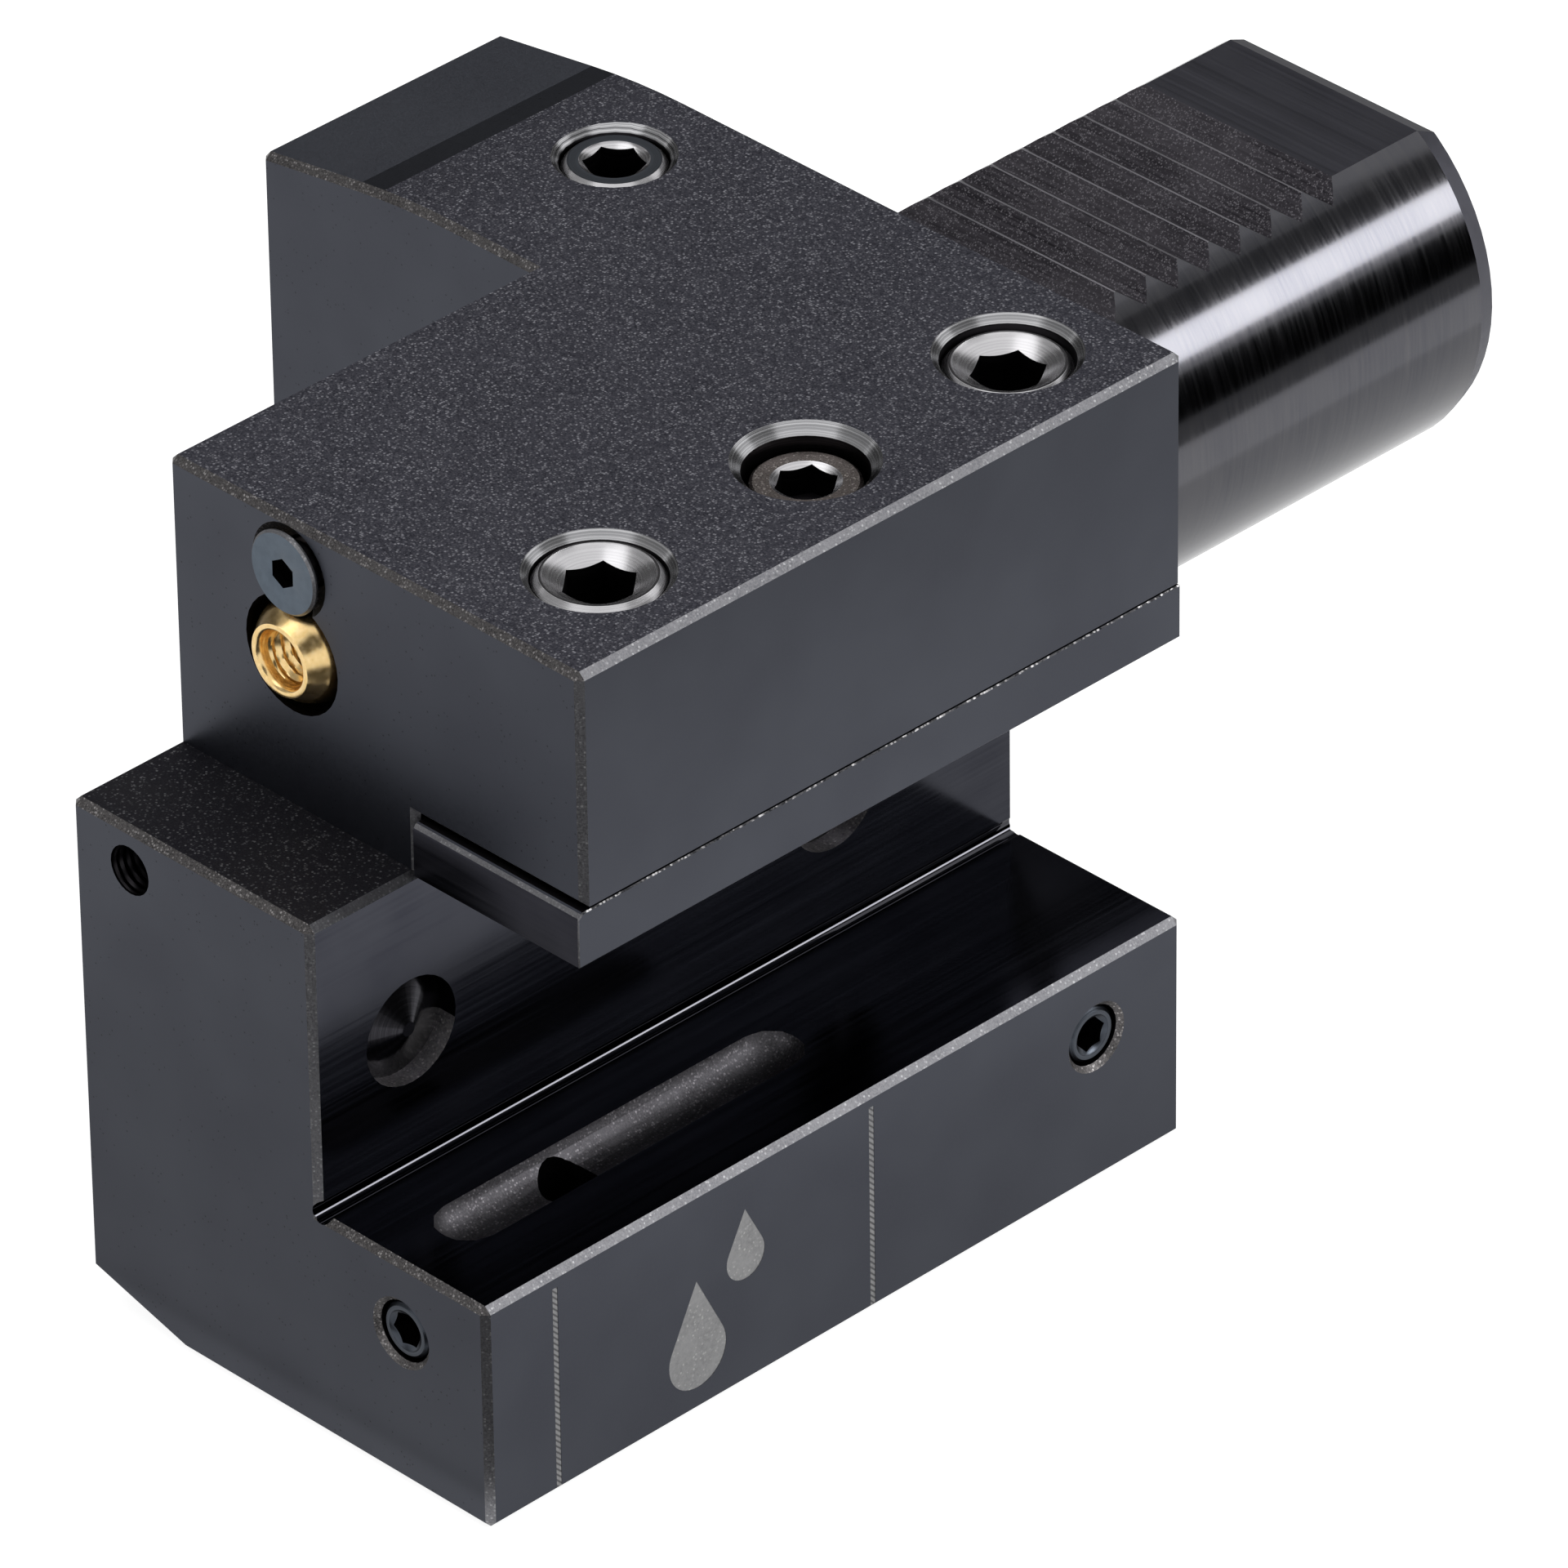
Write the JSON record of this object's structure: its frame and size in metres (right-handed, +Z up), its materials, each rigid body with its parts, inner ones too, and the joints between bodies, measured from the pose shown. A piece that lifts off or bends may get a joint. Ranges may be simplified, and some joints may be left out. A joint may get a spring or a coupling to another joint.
{
  "type": "vdi axial tool holder",
  "caption": "Axial lathe tool holder with a toothed round shank, a side-open tool slot with a screw-down clamp bar, and a coolant nozzle.",
  "frame": {"origin": "centre of the bounding box across and along, on the underside of the body; X is 0 on the shank's axis", "axes": "+Z up from the underside to the clamp screws, +Y along the shank away from the tool slot, +X towards the open side of the slot"},
  "size_m": [0.085, 0.1492, 0.0812],
  "materials": {
    "black_oxide_steel": "black oxide, satin with fine pits",
    "dark_ground_steel": "black oxide over ground steel",
    "screw_steel": "polished dark steel",
    "bar_screw_steel": "dark steel, dull",
    "spring_steel": "drawn wire",
    "brass": "polished",
    "blued_steel": "satin blue-grey",
    "black_rubber": "matte"
  },
  "bodies": {
    "holder": {"holder_body": "black_oxide_steel", "flange_plug": "screw_steel", "gallery_plug": "screw_steel", "side_plug": "screw_steel", "front_plug": "screw_steel", "shank_seal": "black_rubber", "inlet_seal": "black_rubber", "return_spring": "spring_steel"},
    "bar": {"clamp_bar": "dark_ground_steel", "bar_screw": "bar_screw_steel"},
    "front_screw": {"clamp_screw_front": "screw_steel"},
    "rear_screw": {"clamp_screw_rear": "screw_steel"},
    "nozzle_swivel": {"nozzle_seal": "black_rubber"},
    "nozzle": {"nozzle_ball": "brass"},
    "lock_screw": {"nozzle_lock_screw": "blued_steel"}
  },
  "joints": [
    {"name": "bar_slide", "type": "slide", "parent": "holder", "child": "bar", "axis": [0, 0, -1], "range_m": [0, 0.0043], "deforming": ["return_spring"]},
    {"name": "front_screw_turn", "type": "hinge", "parent": "bar", "child": "front_screw", "pos_m": [0.0317, -0.0492, 0.068], "axis": [0, 0, -1], "range_deg": [0, 884.57]},
    {"name": "rear_screw_turn", "type": "hinge", "parent": "bar", "child": "rear_screw", "pos_m": [0.0317, -0.0002, 0.068], "axis": [0, 0, -1], "range_deg": [0, 884.57]},
    {"name": "nozzle_turn", "type": "hinge", "parent": "holder", "child": "nozzle_swivel", "pos_m": [0.007, -0.0594, 0.0676], "axis": [0, -1, 0], "range_deg": [-90, 90]},
    {"name": "nozzle_tilt", "type": "hinge", "parent": "nozzle_swivel", "child": "nozzle", "pos_m": [0.007, -0.0594, 0.0676], "axis": [1, 0, 0], "range_deg": [0, 15]},
    {"name": "lock_screw_turn", "type": "hinge", "parent": "holder", "child": "lock_screw", "pos_m": [0.007, -0.062, 0.0761], "axis": [0, -1, 0], "range_deg": [0, 180]}
  ],
  "couplings": [
    {"joint": "front_screw_turn", "follows": "bar_slide", "rad_per_m": 3590.4},
    {"joint": "rear_screw_turn", "follows": "bar_slide", "rad_per_m": 3590.4}
  ]
}
